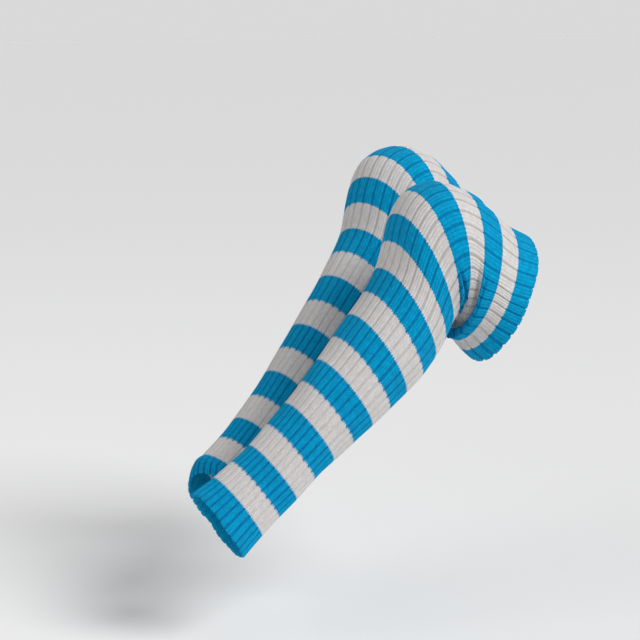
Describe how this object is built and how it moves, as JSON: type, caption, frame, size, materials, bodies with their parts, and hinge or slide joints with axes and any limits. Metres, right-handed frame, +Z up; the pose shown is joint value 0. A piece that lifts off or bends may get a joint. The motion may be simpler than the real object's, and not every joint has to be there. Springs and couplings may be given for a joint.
{
  "type": "pair of leg warmers",
  "caption": "Over-the-knee ribbed knit leg warmers, open striped tubes shaped as worn on bent legs, narrow at the ankle hem and wide at the thigh hem.",
  "frame": {"origin": "midway between the middles of the two knees, which hold the pair up", "axes": "the wearer faces -X, the left leg lies towards -Y, +Z up"},
  "size_m": [0.4197, 0.3402, 0.4201],
  "materials": {
    "left_striped_rib_knit": "soft ribbed knit, turquoise stripes with off-white ones between",
    "right_striped_rib_knit": "soft ribbed knit, turquoise stripes with off-white ones between"
  },
  "bodies": {
    "root": {"leg_warmer_left": "left_striped_rib_knit", "leg_warmer_right": "right_striped_rib_knit"}
  },
  "joints": []
}
